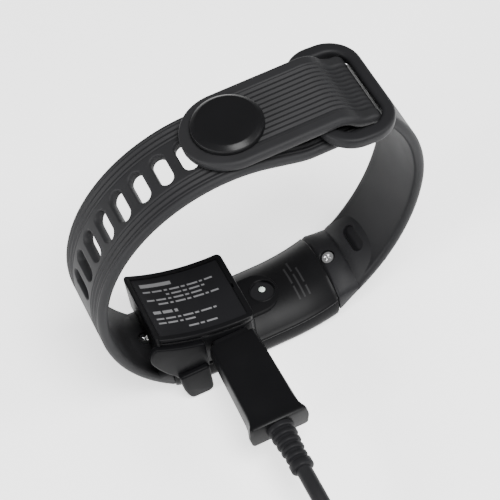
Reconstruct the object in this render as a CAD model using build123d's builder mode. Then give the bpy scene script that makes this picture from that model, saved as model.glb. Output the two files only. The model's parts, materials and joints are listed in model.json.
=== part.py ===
"""Fitness tracker band, closed, display down, clipped in its charging cradle with the lead plugged in.

X runs along the tracker module, -Y points out of the cradle's socket, +Z up.
The origin is the centre of the display face, which lies on the ground. Millimetres.
"""
from build123d import *
from math import asin, atan2, cos, degrees, hypot, radians, sin, sqrt
import os

os.makedirs("parts", exist_ok=True)

# ---------------------------------------------------------------- driving dimensions
# tracker module
module_half_length = 19.8
module_width = 19.0
module_flat_half = 8.0        # flat middle of the display face
module_bend_radius = 37.0     # both ends curl up round the wrist
case_top = 5.6                # joint between front case and back cover, at the side
crown_height = 9.6            # back cover at the middle
crown_side = 6.0              # back cover at the side
case_wall = 1.1
end_wall = 1.2
lens_thickness = 0.9
lens_margin = 1.2             # case rim beside the lens
rim_bevel_height = 1.7
rim_bevel_width = 0.75
platform_top = 9.8            # flat sensor platform on the back
platform_half_width = 5.0
platform_left = -10.5
platform_right = 9.3
window_x = 5.8
window_diameter = 5.4
contact_x = -6.5
contact_pitch = 4.0
contact_diameter = 1.8

# straps
strap_thickness = 2.3
long_strap_width = 18.8
short_strap_width = 17.4
tail_width = 19.4
loop_side = 11.45             # how far the loop bulges past the module's ends
loop_base = 0.25
loop_radius = module_half_length + loop_side   # middle of the long strap round the wrist
loop_centre_z = loop_radius + loop_base
left_low_radius = loop_radius + 5.7            # flatter stretch beside the module
right_low_centre = (module_half_length - 23.6, 43.0)
right_low_radius = 45.35
right_high_centre = (module_half_length - 7.7, 40.3)
right_high_radius = right_low_radius - hypot(
    right_high_centre[0] - right_low_centre[0], right_high_centre[1] - right_low_centre[1]
)
end_gap = 0.15
strap_start_x = module_half_length + end_gap   # both straps are cut off square here
strap_run_in = 2.0            # length of strap that the cut takes off
layer_gap = 0.2               # between the tail and the strap under it
slot_count = 10
slot_pitch_deg = 9.85
first_slot_deg = -11.2        # measured from the top of the loop, positive to the left
slot_length = 7.5
slot_width = 3.2
arc_end_x = 9.0               # the strap leaves the loop circle here, towards the ring
under_ring_radius = 12.0
fold_clearance = 1.1          # between the fold and the ring's far bar
fold_gap = 0.3                # between the two layers inside the fold
rise_clearance = 0.6          # the climb out of the ring ends this far right of its near bar
tail_gap = 0.3                # opening between fold and tail, on the peel line

# ring on the short strap
ring_centre = (module_half_length + 8.6, loop_centre_z + loop_radius - 0.85)
ring_tilt = 4.0
ring_length = 16.0
ring_width = 27.5
ring_thickness = 2.6
ring_opening_length = 10.8
ring_opening_width = 21.2
ring_corner = 7.0
ring_opening_corner = 4.0
ring_root_z = 58.5            # where the short strap turns into the ring

# stud
stud_diameter = 14.6
stud_height = 2.0
stem_diameter = 4.0
post_width = 2.0
post_length = 6.0
post_offset = 0.25            # from the slot's middle
cap_offset = -1.8             # cap's middle from the post
post_bottom = loop_centre_z + loop_radius - 1.85

# strap roots, lugs and screws
lug_x = module_half_length + 3.3
lug_above_joint = 0.2
lug_tilt = 20.0
lug_thickness = 2.0
lug_width = 11.0
lug_inner = -4.2
lug_outer = 2.4
lug_clearance = 0.15
root_height = 4.0             # top of the strap's root above the lug's middle
insert_diameter = 2.4
screw_diameter = 1.4
screw_hole_diameter = 1.7
screw_head_diameter = 2.7
screw_head_height = 0.9
screw_head_seat = 2.4         # above the lug's middle
screw_recess_diameter = 3.4
pocket_out = 5.0              # from the lug's middle
pocket_z = 14.3
pocket_length = 7.2
pocket_width = 2.8
pocket_depth = 2.0

# charging cradle
cradle_overhang = 2.0         # past the module's left end
cradle_left = -module_half_length - cradle_overhang
cradle_right = 0.5
cradle_width = 19.0
cradle_top = ((cradle_left, 22.8), (cradle_left + 9.2, 18.4), (cradle_right, 16.4))
cradle_wall = 1.2
cover_thickness = 1.4
label_recess = 0.35
label_margin = 1.3
label_thickness = 0.15
cradle_clearance = 0.3        # over the module's back
cradle_over_root = 0.3 - module_half_length    # left of this the cradle stays above the strap's root
root_clearance = 0.5
skirt_level = 6.6
jaw_thickness = 1.25
jaw_clearance = 0.15
arm_thickness = 1.45
arm_right = -12.3
tab_left = -19.3
tab_thickness = 2.6
arm_pivot_z = 16.0

# micro-B socket and plug
plug_x = -6.1
plug_z = 12.2
socket_width = 7.6
socket_height = 2.9
socket_depth = 5.0
socket_wall = 0.3
plug_face_y = -11.2
plug_back_size = (9.6, 5.8)
plug_front_size = (11.4, 6.4)
plug_flange_size = (13.0, 7.4)
plug_neck_size = (8.4, 4.6)
plug_neck_length = 1.4
plug_length = 21.4
plug_flange_length = 1.8
plug_shell_size = (6.85, 1.85)
plug_shell_length = 5.6
plug_shell_wall = 0.3
relief_length = 11.1
relief_root_radius = 2.8
relief_tip_radius = 2.1
relief_collar_radius = 2.45
relief_segments = 5

# lead
cord_diameter = 3.4
cord_gap = 0.15
coil_turns = 4                # across, in each of two layers
coil_middle_radius = 18.7
coil_centre = (-28.2, -80.0)
tie_thickness = 0.5
tie_span_deg = 18.0
tie_angle = 150.0

# USB-A plug
usb_size = (15.6, 8.0)
usb_length = 26.0
usb_shell_size = (12.0, 4.5)
usb_shell_length = 18.8
usb_shell_wall = 0.4
usb_relief_length = 8.0
usb_relief_x = -22.2
usb_y = -93.6
coil_top_gap = 0.1

half_width = module_width / 2
side_y = cradle_width / 2


# ---------------------------------------------------------------- shared shapes
def bend_height(x, level):
    """Height, at x, of the surface that lies level above the display face in the middle."""
    reach = max(abs(x) - module_flat_half, 0.0)
    return module_bend_radius - sqrt((module_bend_radius - level) ** 2 - reach**2)


lug_z = bend_height(module_half_length, case_top) + lug_above_joint
root_top_z = lug_z + root_height
pocket_x = lug_x + pocket_out


def bent_bar(profile, half_length):
    """A bar that follows the module's curve, with the given cross-section."""
    sweep_deg = 28.0
    with BuildPart() as bar:
        with BuildLine(Plane.XZ) as path:
            left = CenterArc(
                (-module_flat_half, module_bend_radius), module_bend_radius, 270 - sweep_deg, sweep_deg
            )
            Line((-module_flat_half, 0), (module_flat_half, 0))
            CenterArc((module_flat_half, module_bend_radius), module_bend_radius, 270, sweep_deg)
        with BuildSketch(Plane(origin=left @ 0, x_dir=(0, 1, 0), z_dir=left % 0)):
            add(profile)
        sweep(path=path.wires()[0])
        Box(2 * half_length, 60, 60, mode=Mode.INTERSECT)
    return bar.part


def band(half, low, high):
    """Profile of a flat band, low to high above the display face."""
    with BuildSketch() as flat:
        with Locations((0, (low + high) / 2)):
            Rectangle(2 * half, high - low)
    return flat.sketch


def crown(half, low, side, top):
    """Profile with a straight foot and an arched top."""
    with BuildSketch() as arched:
        with BuildLine():
            Polyline((-half, side), (-half, low), (half, low), (half, side))
            ThreePointArc((half, side), (0, top), (-half, side))
        make_face()
    return arched.sketch


def case_profile():
    """Profile of the front case: straight sides with a bevel towards the display."""
    low = lens_thickness / 2
    with BuildSketch() as bevelled:
        with BuildLine():
            Polyline(
                (half_width, case_top),
                (-half_width, case_top),
                (-half_width, low + rim_bevel_height),
                (-half_width + rim_bevel_width, low),
                (half_width - rim_bevel_width, low),
                (half_width, low + rim_bevel_height),
                close=True,
            )
        make_face()
    return bevelled.sketch


def lug_plane(side, height):
    """Plane across a lug's screw axis, on the right side for side 1 and on the left for -1."""
    tilt = radians(lug_tilt)
    up = Vector(-side * sin(tilt), 0, cos(tilt))
    origin = Vector(side * lug_x, 0, lug_z) + up * height
    return Plane(origin=origin, x_dir=(side * cos(tilt), 0, sin(tilt)), z_dir=up)


def lug_block(side, grow):
    """The tongue at the module's end that the strap slides over."""
    length = lug_outer - lug_inner
    with BuildPart() as block:
        with BuildSketch(lug_plane(side, -lug_thickness / 2 - grow)):
            with Locations(((lug_outer + lug_inner + grow) / 2, 0)):
                Rectangle(length + grow, lug_width + 2 * grow)
        extrude(amount=lug_thickness + 2 * grow)
    return block.part


def cylinder_on(plane, diameter, height):
    """A cylinder that stands on a plane."""
    with BuildPart() as post:
        with BuildSketch(plane):
            Circle(diameter / 2)
        extrude(amount=height)
    return post.part


def finish(builder, label):
    """Labels a sub-part and writes it."""
    builder.part.label = label
    export_step(builder.part, f"parts/{label}.step")


# ---------------------------------------------------------------- module shells
lens_half = half_width - lens_margin
lens_end = module_half_length - 0.7
seal_width = 0.5
cavity_half = half_width - case_wall
cavity_end = module_half_length - end_wall
ledge = 0.6                   # case floor under the lens rim
ledge_top = lens_thickness + 0.05 + ledge

case_outer = bent_bar(case_profile(), module_half_length)
case_cavity = bent_bar(band(cavity_half, ledge_top, case_top + 1), cavity_end)
lens_seat = bent_bar(band(lens_half + 0.05, -1, lens_thickness + 0.05), lens_end + 0.05)
window_half = lens_half - 0.9
case_window = bent_bar(band(window_half, 0.5, ledge_top + 0.1), lens_end - 1.2)
lugs = [lug_block(side, 0) for side in (1, -1)]
lug_pockets = [lug_block(side, lug_clearance) for side in (1, -1)]
insert_holes = [
    cylinder_on(lug_plane(side, -lug_thickness), insert_diameter, 2 * lug_thickness) for side in (1, -1)
]

with BuildPart() as front_case:
    add(case_outer)
    add(lugs)
    add(case_cavity, mode=Mode.SUBTRACT)
    add(lens_seat, mode=Mode.SUBTRACT)
    add(case_window, mode=Mode.SUBTRACT)
    add(insert_holes, mode=Mode.SUBTRACT)
finish(front_case, "front_case")

lens_bar = bent_bar(band(lens_half, 0, lens_thickness), lens_end)
with BuildPart() as display_lens:
    add(lens_bar)
    fillet(display_lens.edges().filter_by(Axis.Z), 1.2)
finish(display_lens, "display_lens")

adhesive_top = lens_thickness + 0.05
panel_top = 1.8
with BuildPart() as display_panel:
    with BuildSketch(Plane.XY.offset(adhesive_top)):
        Rectangle(2 * module_flat_half - 0.4, 2 * (window_half - 1.3))
    extrude(amount=panel_top - adhesive_top)
finish(display_panel, "display_panel")

with BuildPart() as display_adhesive:
    with BuildSketch(Plane.XY.offset(lens_thickness)):
        Rectangle(2 * module_flat_half - 0.4, 2 * (window_half - 0.7))
    extrude(amount=0.05)
finish(display_adhesive, "display_adhesive")

cover_outer = bent_bar(crown(half_width, case_top, crown_side, crown_height), module_half_length)
cover_cavity = bent_bar(
    crown(cavity_half, case_top - 1, crown_side - 0.6, crown_height - case_wall), cavity_end
)
platform_length = platform_right - platform_left
platform_mid = (platform_right + platform_left) / 2
contact_spots = [(contact_x, side * contact_pitch / 2) for side in (1, -1)]
with BuildPart() as back_cover:
    add(cover_outer)
    add(cover_cavity, mode=Mode.SUBTRACT)
    with BuildSketch(Plane.XY.offset(crown_height - case_wall + 0.1)):
        with Locations((platform_mid, 0)):
            SlotOverall(platform_length, 2 * platform_half_width)
    extrude(amount=platform_top - crown_height + case_wall - 0.1)
    with Locations((window_x, 0, platform_top)):
        Hole(window_diameter / 2, depth=3)
    with Locations(*[(x, y, platform_top) for x, y in contact_spots]):
        Hole(contact_diameter / 2, depth=3)
    add(lug_pockets, mode=Mode.SUBTRACT)
finish(back_cover, "back_cover")

seal_low = case_top - 0.6
seal_outer = bent_bar(band(cavity_half, seal_low, case_top), cavity_end)
seal_inner = bent_bar(
    band(cavity_half - seal_width, seal_low - 1, case_top + 1), cavity_end - seal_width
)
with BuildPart() as back_seal:
    add(seal_outer)
    add(seal_inner, mode=Mode.SUBTRACT)
finish(back_seal, "back_seal")

# ---------------------------------------------------------------- module insides
board_z = 4.5
board_thickness = 0.6
battery_top = board_z - 0.2
board_size = (26.0, 2 * (cavity_half - seal_width - 1.1))
battery_width = board_size[1] - 1.0
with BuildPart() as battery:
    with BuildSketch(Plane.XY.offset(panel_top + 0.3)):
        with Locations((-1.5, 0)):
            RectangleRounded(15.0, battery_width, 0.8)
    extrude(amount=battery_top - panel_top - 0.3)
finish(battery, "battery")

with BuildPart() as battery_foam:
    with BuildSketch(Plane.XY.offset(panel_top)):
        with Locations((-1.5, 0)):
            Rectangle(13.0, battery_width - 2.0)
    extrude(amount=0.3)
finish(battery_foam, "battery_foam")

with BuildPart() as main_board:
    with BuildSketch(Plane.XY.offset(board_z)):
        Rectangle(*board_size)
        with Locations((-board_size[0] / 2 + 1.5, 0)):
            Circle(0.6, mode=Mode.SUBTRACT)
    extrude(amount=board_thickness)
finish(main_board, "main_board")

chip_floor = board_z + board_thickness
board_edge = board_size[1] / 2
chip_spots = [
    (-9.5, board_edge - 3.6, 4.0, 4.0, 0.9),
    (-9.5, 3.6 - board_edge, 3.2, 3.2, 0.8),
    (1.0, board_edge - 2.4, 3.0, 2.6, 0.7),
    (1.0, 2.2 - board_edge, 2.4, 2.0, 0.6),
    (10.4, board_edge - 2.6, 2.0, 3.0, 0.8),
]
with BuildPart() as board_chips:
    for x, y, length, width, height in chip_spots:
        with BuildSketch(Plane.XY.offset(chip_floor)):
            with Locations((x, y)):
                Rectangle(length, width)
        extrude(amount=height)
finish(board_chips, "board_chips")

sensor_board_z = 6.4
with BuildPart() as sensor_board:
    with BuildSketch(Plane.XY.offset(sensor_board_z)):
        with Locations((window_x, 0)):
            RectangleRounded(6.4, 5.6, 0.6)
    extrude(amount=0.4)
finish(sensor_board, "sensor_board")

window_thickness = 0.8
window_top = platform_top - 0.5
with BuildPart() as sensor_window:
    with BuildSketch(Plane.XY.offset(window_top - window_thickness)):
        with Locations((window_x, 0)):
            Circle(window_diameter / 2)
    extrude(amount=window_thickness)
finish(sensor_window, "sensor_window")

sensor_floor = sensor_board_z + 0.4
with BuildPart() as sensor_led:
    with BuildSketch(Plane.XY.offset(sensor_floor)):
        with Locations((window_x + 0.2, 1.0)):
            Rectangle(1.6, 1.2)
    extrude(amount=1.1)
finish(sensor_led, "sensor_led")

with BuildPart() as sensor_photodiode:
    with BuildSketch(Plane.XY.offset(sensor_floor)):
        with Locations((window_x, -1.1)):
            Rectangle(2.2, 1.5)
    extrude(amount=0.9)
finish(sensor_photodiode, "sensor_photodiode")

with BuildPart() as charge_contacts:
    with BuildSketch(Plane.XY.offset(platform_top - 2.0)):
        with Locations(*contact_spots):
            Circle(contact_diameter / 2)
    extrude(amount=2.0)
finish(charge_contacts, "charge_contacts")

with BuildPart() as antenna:
    with BuildSketch(Plane.XY.offset(chip_floor)):
        with Locations((-2.5, board_edge - 0.9)):
            Rectangle(3.6, 1.0)
    extrude(amount=0.5)
finish(antenna, "antenna")

# vibration motor: the can lies along X beside the battery, its off-centre weight outside the can
motor_x = 8.6
motor_z = 2.95
motor_radius = 1.2
motor_y = 3.0
motor_length = 4.4
shaft_radius = 0.3
shaft_clearance = 0.03
rotor_length = 2.0
motor_end = Plane(origin=(motor_x, motor_y, motor_z), x_dir=(0, 1, 0), z_dir=(1, 0, 0))
with BuildPart() as motor_can:
    with BuildSketch(motor_end):
        Circle(motor_radius)
    extrude(amount=motor_length)
    with BuildSketch(motor_end.offset(motor_length - 2.0)):
        Circle(shaft_radius + shaft_clearance)
    extrude(amount=2.1, mode=Mode.SUBTRACT)
finish(motor_can, "motor_can")

with BuildPart() as motor_rotor:
    with BuildSketch(motor_end.offset(motor_length - 1.9)):
        Circle(shaft_radius)
    extrude(amount=1.9 + 0.2 + rotor_length)
    with BuildSketch(motor_end.offset(motor_length + 0.2)):
        Circle(motor_radius)
        with Locations((0, motor_radius / 2 + 0.3)):
            Rectangle(2.4 * motor_radius, motor_radius, mode=Mode.SUBTRACT)
        Circle(shaft_radius)
    extrude(amount=rotor_length)
finish(motor_rotor, "motor_rotor")

# ---------------------------------------------------------------- screws
with BuildPart() as lug_inserts:
    for side in (1, -1):
        with BuildSketch(lug_plane(side, -lug_thickness / 2)):
            Circle(insert_diameter / 2)
            Circle(screw_diameter / 2, mode=Mode.SUBTRACT)
        extrude(amount=lug_thickness)
finish(lug_inserts, "lug_inserts")

with BuildPart() as strap_screws:
    for side in (1, -1):
        with BuildSketch(lug_plane(side, -0.8)):
            Circle(screw_diameter / 2)
        extrude(amount=screw_head_seat + 0.8)
        with BuildSketch(lug_plane(side, screw_head_seat)):
            Circle(screw_head_diameter / 2)
        extrude(amount=screw_head_height)
        with BuildSketch(lug_plane(side, screw_head_seat + screw_head_height - 0.4)):
            for angle in (45, 135):
                with Locations(Rotation(0, 0, angle)):
                    Rectangle(1.7, 0.42)
        extrude(amount=0.5, mode=Mode.SUBTRACT)
finish(strap_screws, "strap_screws")


# ---------------------------------------------------------------- straps
def ribbon(line, width):
    """A strap: a band of even thickness along a line in the XZ plane, across the strap's width."""
    with BuildPart() as strap:
        with BuildSketch(Plane.XZ):
            trace(line, line_width=strap_thickness)
        extrude(amount=width / 2, both=True)
    return strap.part


def on_circle(centre, radius, x, sign):
    """Height of a circle in the XZ plane at x, above its centre for sign 1 and below for -1."""
    return centre[1] + sign * sqrt(radius**2 - (x - centre[0]) ** 2)


def root_block(side, top_points, foot_points, width):
    """The thick end of a strap beside the module, rounded towards the wrist."""
    outline = [(side * x, z) for x, z in foot_points + top_points]
    with BuildPart() as block:
        with BuildSketch(Plane.XZ):
            with BuildLine():
                Polyline(*outline, close=True)
            make_face()
        extrude(amount=width / 2, both=True)
        with BuildSketch(Plane.YZ.offset(side * 35)):
            with BuildLine():
                Polyline(
                    (-width / 2, 0), (width / 2, 0), (width / 2, lug_z + 1.3),
                    (width / 2 - 4.3, lug_z + 10.3), (4.3 - width / 2, lug_z + 10.3),
                    (-width / 2, lug_z + 1.3), close=True,
                )
            make_face()
        extrude(amount=-side * 35, mode=Mode.INTERSECT)
    return block.part


def screw_cuts(side):
    """Recess for the screw's head and the hole for its shank."""
    with BuildPart() as cuts:
        with BuildSketch(lug_plane(side, screw_head_seat)):
            Circle(screw_recess_diameter / 2)
        extrude(amount=5)
        with BuildSketch(lug_plane(side, 0)):
            Circle(screw_hole_diameter / 2)
        extrude(amount=screw_head_seat)
    return cuts.part


# long strap: up the left side, over the top, under the ring's far bar, up and back
left_low_centre = (left_low_radius - loop_radius, loop_centre_z)
run_in_x = strap_start_x - strap_run_in
left_run_in_z = on_circle(left_low_centre, left_low_radius, -run_in_x, -1)
left_start_deg = degrees(asin((left_low_centre[1] - left_run_in_z) / left_low_radius))
leave_angle = degrees(asin(arc_end_x / loop_radius))
leave_point = (arc_end_x, on_circle((0, loop_centre_z), loop_radius, arc_end_x, 1))
tail_line_z = loop_centre_z + loop_radius + strap_thickness + layer_gap
run_down = 6.2
under_start = (
    leave_point[0] + run_down * cos(radians(leave_angle)),
    leave_point[1] - run_down * sin(radians(leave_angle)),
)
under_centre = (
    under_start[0] + under_ring_radius * sin(radians(leave_angle)),
    under_start[1] + under_ring_radius * cos(radians(leave_angle)),
)
under_end = (under_centre[0], under_centre[1] - under_ring_radius)
fold_radius = (strap_thickness + fold_gap) / 2
fold_x = ring_centre[0] + ring_opening_length / 2 - fold_clearance - strap_thickness / 2 - fold_radius
fold_centre = (fold_x, under_end[1] + fold_radius)
rise_end = (ring_centre[0] - ring_opening_length / 2 + rise_clearance, tail_line_z)
rise_start = (fold_x, under_end[1] + 2 * fold_radius)
rise_length = rise_start[0] - rise_end[0]
rise_height = rise_end[1] - rise_start[1]
rise_radius = (rise_length**2 + rise_height**2) / (4 * rise_height)
rise_angle = 2 * degrees(atan2(rise_height, rise_length))

with BuildLine() as long_line:
    CenterArc(left_low_centre, left_low_radius, 180, left_start_deg)
    CenterArc((0, loop_centre_z), loop_radius, 90 - leave_angle, 90 + leave_angle)
    Line(leave_point, under_start)
    CenterArc(under_centre, under_ring_radius, 270 - leave_angle, leave_angle)
    Line(under_end, (fold_x, under_end[1]))
    CenterArc(fold_centre, fold_radius, -90, 180)
    CenterArc((rise_start[0], rise_start[1] + rise_radius), rise_radius, 270, -rise_angle)
    CenterArc((rise_end[0], rise_end[1] - rise_radius), rise_radius, 90 - rise_angle, rise_angle)
long_ribbon = ribbon(long_line.line, long_strap_width)


def foot(centre, radius, side, reach):
    """Point of a strap's middle line at a distance beyond its square end, mirrored to positive x."""
    x = strap_start_x + reach
    return (x, on_circle(centre, radius, side * x, -1))


right_reach = 11.85
left_reach = 7.45
right_foot = [foot(right_low_centre, right_low_radius, 1, reach) for reach in (0, 5.5, right_reach)]
left_foot = [foot(left_low_centre, left_low_radius, -1, reach) for reach in (0, 4.05, left_reach)]
wedge_z = pocket_z + 2.1
right_root = root_block(
    1,
    [
        (strap_start_x + right_reach, wedge_z), (pocket_x, pocket_z), (lug_x - 0.2, root_top_z),
        (strap_start_x, root_top_z),
    ],
    right_foot, short_strap_width,
)
left_root = root_block(
    -1, [(lug_x + 3.9, root_top_z + 4.7), (lug_x - 0.2, root_top_z), (strap_start_x, root_top_z)],
    left_foot, long_strap_width,
)

screw_holes = {side: screw_cuts(side) for side in (1, -1)}
module_zone = 20.0            # height up to which the straps keep clear of the module's ends
slot_planes = []
for index in range(slot_count):
    lean = radians(first_slot_deg + index * slot_pitch_deg)
    outward = Vector(-sin(lean), 0, cos(lean))
    middle = Vector(0, 0, loop_centre_z) + outward * (loop_radius - strap_thickness)
    slot_planes.append(Plane(origin=middle, x_dir=(0, 1, 0), z_dir=outward))

with BuildPart() as long_strap:
    add(long_ribbon)
    add(left_root)
    with Locations((0, 0, module_zone / 2)):
        Box(2 * strap_start_x, 2 * module_width, module_zone, mode=Mode.SUBTRACT)
    for plane in slot_planes:
        with BuildSketch(plane):
            SlotOverall(slot_length, slot_width)
        extrude(amount=2 * strap_thickness, mode=Mode.SUBTRACT)
    add(lug_pockets, mode=Mode.SUBTRACT)
    add(screw_holes[-1], mode=Mode.SUBTRACT)
finish(long_strap, "long_strap")

# short strap with the ring moulded on its end
ring_root = (
    right_high_centre[0] + sqrt(right_high_radius**2 - (ring_root_z - right_high_centre[1]) ** 2),
    ring_root_z,
)
tilt = radians(ring_tilt)
ring_bar_u = (ring_length + ring_opening_length) / 4
ring_bar = (ring_centre[0] + ring_bar_u * cos(tilt), ring_centre[1] - ring_bar_u * sin(tilt))
centre_gap = (
    right_high_centre[0] - right_low_centre[0],
    right_high_centre[1] - right_low_centre[1],
)
meet_deg = degrees(asin(-centre_gap[1] / sqrt(centre_gap[0] ** 2 + centre_gap[1] ** 2)))
right_run_in_z = on_circle(right_low_centre, right_low_radius, run_in_x, -1)
low_start_deg = degrees(asin((right_run_in_z - right_low_centre[1]) / right_low_radius))
high_end_deg = degrees(asin((ring_root[1] - right_high_centre[1]) / right_high_radius))
high_start = (
    right_high_centre[0] + right_high_radius * cos(radians(meet_deg)),
    right_high_centre[1] - right_high_radius * sin(radians(meet_deg)),
)
with BuildLine() as short_line:
    low_arc = CenterArc(right_low_centre, right_low_radius, low_start_deg, -meet_deg - low_start_deg)
    high_arc = CenterArc(right_high_centre, right_high_radius, -meet_deg, meet_deg + high_end_deg)
    Line(high_arc @ 1, ring_bar)
short_ribbon = ribbon(short_line.line, short_strap_width)

ring_plane = Plane(
    origin=(ring_centre[0], 0, ring_centre[1]),
    x_dir=(cos(tilt), 0, -sin(tilt)),
    z_dir=(sin(tilt), 0, cos(tilt)),
)
with BuildPart() as ring:
    with BuildSketch(ring_plane.offset(-ring_thickness / 2)):
        RectangleRounded(ring_length, ring_width, ring_corner)
        RectangleRounded(ring_opening_length, ring_opening_width, ring_opening_corner, mode=Mode.SUBTRACT)
    extrude(amount=ring_thickness)
    fillet(ring.faces().sort_by(Axis.Z)[-1].edges(), 0.7)

wedge_run = Vector(strap_start_x + right_reach - pocket_x, 0, wedge_z - pocket_z).normalized()
pocket_up = Vector(-wedge_run.Z, 0, wedge_run.X)
pocket_floor = Vector(pocket_x, 0, pocket_z) - pocket_up * pocket_depth
with BuildPart() as short_strap:
    add(short_ribbon)
    add(right_root)
    with Locations((0, 0, module_zone / 2)):
        Box(2 * strap_start_x, 2 * module_width, module_zone, mode=Mode.SUBTRACT)
    add(ring.part)
    with BuildSketch(Plane(origin=pocket_floor, x_dir=(0, 1, 0), z_dir=pocket_up)):
        SlotOverall(pocket_length, pocket_width)
    extrude(amount=2 * pocket_depth, mode=Mode.SUBTRACT)
    add(lug_pockets, mode=Mode.SUBTRACT)
    add(screw_holes[1], mode=Mode.SUBTRACT)
finish(short_strap, "short_strap")

# tail: the strap's free end, folded back over the ring bar and pressed down by the stud
stud_lean = radians(first_slot_deg)
post_x = post_offset - loop_radius * sin(stud_lean)
stud_x = post_x + cap_offset
hinge_x = rise_end[0] - tail_gap - strap_thickness / 2
tail_top = tail_line_z + strap_thickness / 2
tail_bottom = tail_line_z - strap_thickness / 2
tail_arc_radius = loop_radius + strap_thickness + layer_gap
tip_x = stud_x - tail_width / 2
with BuildLine() as tail_line:
    Line((hinge_x, tail_line_z), (0, tail_line_z))
    CenterArc((0, loop_centre_z), tail_arc_radius, 90, 12)
tail_ribbon = ribbon(tail_line.line, tail_width)
with BuildPart() as tail_plan:
    with BuildSketch(Plane.XY.offset(loop_centre_z)):
        with Locations((stud_x, 0)):
            Circle(tail_width / 2)
        with Locations(((stud_x + hinge_x) / 2, 0)):
            Rectangle(hinge_x - stud_x, tail_width)
    extrude(amount=2 * loop_radius)
with BuildPart() as strap_tail:
    add(tail_ribbon)
    add(tail_plan.part, mode=Mode.INTERSECT)
    with BuildSketch(Plane.XZ):
        with Locations((hinge_x, tail_line_z)):
            Circle(strap_thickness / 2)
    extrude(amount=tail_width / 2, both=True)
    with Locations((post_x, 0, tail_top)):
        Hole(stem_diameter / 2, depth=2 * strap_thickness)
finish(strap_tail, "strap_tail")

with BuildPart() as stud_cap:
    with BuildSketch(Plane.XY.offset(tail_top)):
        with Locations((stud_x, 0)):
            Circle(stud_diameter / 2)
    extrude(amount=stud_height)
    chamfer(stud_cap.faces().sort_by(Axis.Z)[-1].edges(), 0.6)
finish(stud_cap, "stud_cap")

with BuildPart() as stud_post:
    with BuildSketch(Plane.XY.offset(tail_bottom)):
        with Locations((post_x, 0)):
            Circle(stem_diameter / 2)
    extrude(amount=tail_top - tail_bottom)
    with BuildSketch(Plane.XY.offset(post_bottom)):
        with Locations((post_x, 0)):
            SlotOverall(post_length, post_width, rotation=90)
    extrude(amount=tail_bottom - post_bottom)
finish(stud_post, "stud_post")

# ---------------------------------------------------------------- charging cradle
cradle_foot = [
    (cradle_right, skirt_level),
    (-module_flat_half, skirt_level),
    (-14.0, bend_height(-14.0, skirt_level)),
    (cradle_left, bend_height(-module_half_length, skirt_level) + 0.6),
]


def lowered(points, drop):
    """The same points, moved down."""
    return [(x, z - drop) for x, z in points]


def cradle_slab(low_drop, high_drop, half):
    """The cradle's side outline between two depths under its top face, extruded across."""
    high, low = lowered(cradle_top, high_drop), lowered(cradle_top, low_drop)
    with BuildPart() as slab:
        with BuildSketch(Plane.XZ):
            with BuildLine():
                ThreePointArc(*high)
                Line(high[2], low[2])
                ThreePointArc(*reversed(low))
                Line(low[0], high[0])
            make_face()
        extrude(amount=half, both=True)
    return slab.part


def cradle_body():
    """The whole cradle under its cover."""
    seat = lowered(cradle_top, cover_thickness)
    with BuildPart() as body:
        with BuildSketch(Plane.XZ):
            with BuildLine():
                ThreePointArc(*seat)
                Polyline(seat[2], *cradle_foot, seat[0])
            make_face()
        extrude(amount=side_y, both=True)
    return body.part


def cradle_hollow():
    """The room for the cradle's board."""
    (left_x, left_z), (mid_x, mid_z), (right_x, right_z) = cradle_top
    wall = cradle_wall
    slope = (right_z - mid_z) / (right_x - mid_x)
    with BuildPart() as hollow:
        with BuildSketch(Plane.XZ):
            with BuildLine():
                Polyline(
                    (right_x - wall, 11.2),
                    (right_x - wall, right_z - slope * wall),
                    (mid_x, mid_z),
                    (left_x + wall, left_z),
                    (left_x + wall, 14.7),
                    (-9.0, 11.2),
                    close=True,
                )
            make_face()
        extrude(amount=side_y - wall, both=True)
    return hollow.part


module_room = bent_bar(
    crown(half_width + 0.4, 0, crown_side + cradle_clearance, platform_top + cradle_clearance), 40
)
socket_plane = Plane(origin=(plug_x, -side_y, plug_z), x_dir=(1, 0, 0), z_dir=(0, -1, 0))
pin_spots = contact_spots
pin_barrel_diameter = 1.5
pin_diameter = 0.9
pin_clearance = 0.05
cradle_floor = 11.2
board_low = plug_z + socket_height / 2 + 0.05
cradle_board_thickness = 0.7

with BuildPart() as cradle_base:
    add(cradle_body())
    add(cradle_hollow(), mode=Mode.SUBTRACT)
    add(module_room, mode=Mode.SUBTRACT)
    with BuildSketch():
        with Locations((platform_mid, 0)):
            SlotOverall(
                platform_length + 2 * cradle_clearance, 2 * (platform_half_width + cradle_clearance)
            )
    extrude(amount=platform_top + cradle_clearance, mode=Mode.SUBTRACT)
    with Locations((cradle_over_root - 5, 0, 0)):
        Box(10, 60, 2 * (root_top_z + root_clearance), mode=Mode.SUBTRACT)
    with BuildSketch(Plane.XZ.offset(-side_y)):
        with BuildLine():
            Polyline(
                (-19.0, 14.2), (-19.0, 4.6), (-17.6, 3.0), (-5.4, 3.0), (-4.0, 4.4), (-4.0, 14.2), close=True
            )
        make_face()
    extrude(amount=-(jaw_clearance + jaw_thickness))
    with Locations((-11.5, half_width + jaw_clearance / 2, 5)):
        Box(20, jaw_clearance, 14, mode=Mode.SUBTRACT)
    with BuildSketch(socket_plane.offset(0.1)):
        Rectangle(socket_width, socket_height)
    extrude(amount=-(socket_depth + 0.4), mode=Mode.SUBTRACT)
    with Locations(*[(x, y, cradle_floor + 1) for x, y in pin_spots]):
        Hole(pin_barrel_diameter / 2, depth=4)
finish(cradle_base, "cradle_base")

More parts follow.
